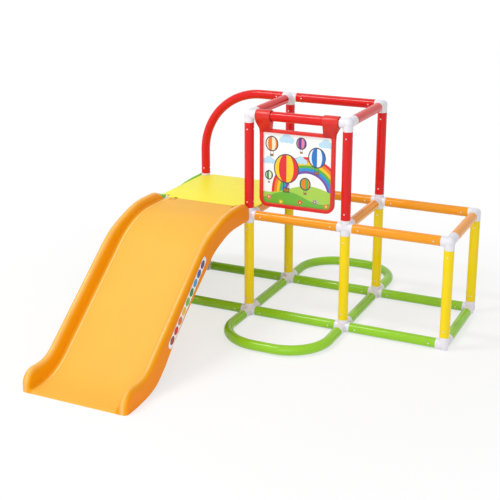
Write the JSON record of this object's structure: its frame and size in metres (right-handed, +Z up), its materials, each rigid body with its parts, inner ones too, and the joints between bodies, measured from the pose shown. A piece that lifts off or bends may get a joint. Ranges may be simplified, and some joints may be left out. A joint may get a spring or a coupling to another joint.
{
  "type": "toddler climbing gym",
  "caption": "Plastic tube climbing frame in cubic bays with a tower, a deck, a slide, a step board, a bent handrail, floor loops and a panel that swings from the tower's front rail.",
  "frame": {"origin": "on the floor, at the middle of the box round the whole gym", "axes": "+X along the row of bays towards the end without a slide, +Y from the slide's foot to the back, +Z up"},
  "size_m": [1.3206, 1.419, 0.7139],
  "materials": {
    "green_tube": "satin gloss",
    "orange_tube": "satin gloss",
    "yellow_tube": "satin gloss",
    "red_tube": "satin gloss",
    "white_connector": "satin gloss",
    "yellow_deck": "fine moulded grain",
    "orange_slide": "moulded, satin bed",
    "green_steps": "fine moulded grain",
    "red_panel": "satin gloss",
    "white_sheet": "printed sheet"
  },
  "bodies": {
    "frame": {"base_rail_front_left": "green_tube", "base_rail_front_middle": "green_tube", "base_rail_front_right": "green_tube", "base_rail_back_left": "green_tube", "base_rail_back_middle": "green_tube", "base_rail_back_right": "green_tube", "base_tie_outer_left": "green_tube", "base_tie_inner_left": "green_tube", "base_tie_inner_right": "green_tube", "base_tie_outer_right": "green_tube", "mid_rail_front_left": "orange_tube", "mid_rail_front_middle": "orange_tube", "mid_rail_front_right": "orange_tube", "mid_rail_back_left": "orange_tube", "mid_rail_back_middle": "orange_tube", "mid_rail_back_right": "orange_tube", "mid_tie_outer_left": "orange_tube", "mid_tie_inner_left": "orange_tube", "mid_tie_inner_right": "orange_tube", "mid_tie_outer_right": "orange_tube", "lower_post_front_outer_left": "yellow_tube", "lower_post_front_inner_left": "yellow_tube", "lower_post_front_inner_right": "yellow_tube", "lower_post_front_outer_right": "yellow_tube", "lower_post_back_outer_left": "yellow_tube", "lower_post_back_inner_left": "yellow_tube", "lower_post_back_inner_right": "yellow_tube", "lower_post_back_outer_right": "yellow_tube", "upper_post_front_inner_left": "red_tube", "upper_post_front_inner_right": "red_tube", "upper_post_back_inner_left": "red_tube", "upper_post_back_inner_right": "red_tube", "top_rail_front": "red_tube", "top_rail_back": "red_tube", "top_tie_inner_left": "red_tube", "top_tie_inner_right": "red_tube", "base_loop_front": "green_tube", "base_loop_back": "green_tube", "handrail": "red_tube", "base_joints_outer_left": "white_connector", "base_joints_inner_left": "white_connector", "base_joints_inner_right": "white_connector", "base_joints_outer_right": "white_connector", "mid_joints_outer_left": "white_connector", "mid_joints_inner_left": "white_connector", "mid_joints_inner_right": "white_connector", "mid_joints_outer_right": "white_connector", "top_joints_inner_left": "white_connector", "top_joints_inner_right": "white_connector", "deck": "yellow_deck", "slide": "orange_slide", "steps": "green_steps"},
    "panel": {"panel_frame": "red_panel", "panel_sheet": "white_sheet"}
  },
  "joints": [
    {"name": "panel_swing", "type": "hinge", "parent": "frame", "child": "panel", "pos_m": [0.13633, 0.09353, 0.694], "axis": [1, 0, 0], "range_deg": [-90, 90]}
  ]
}
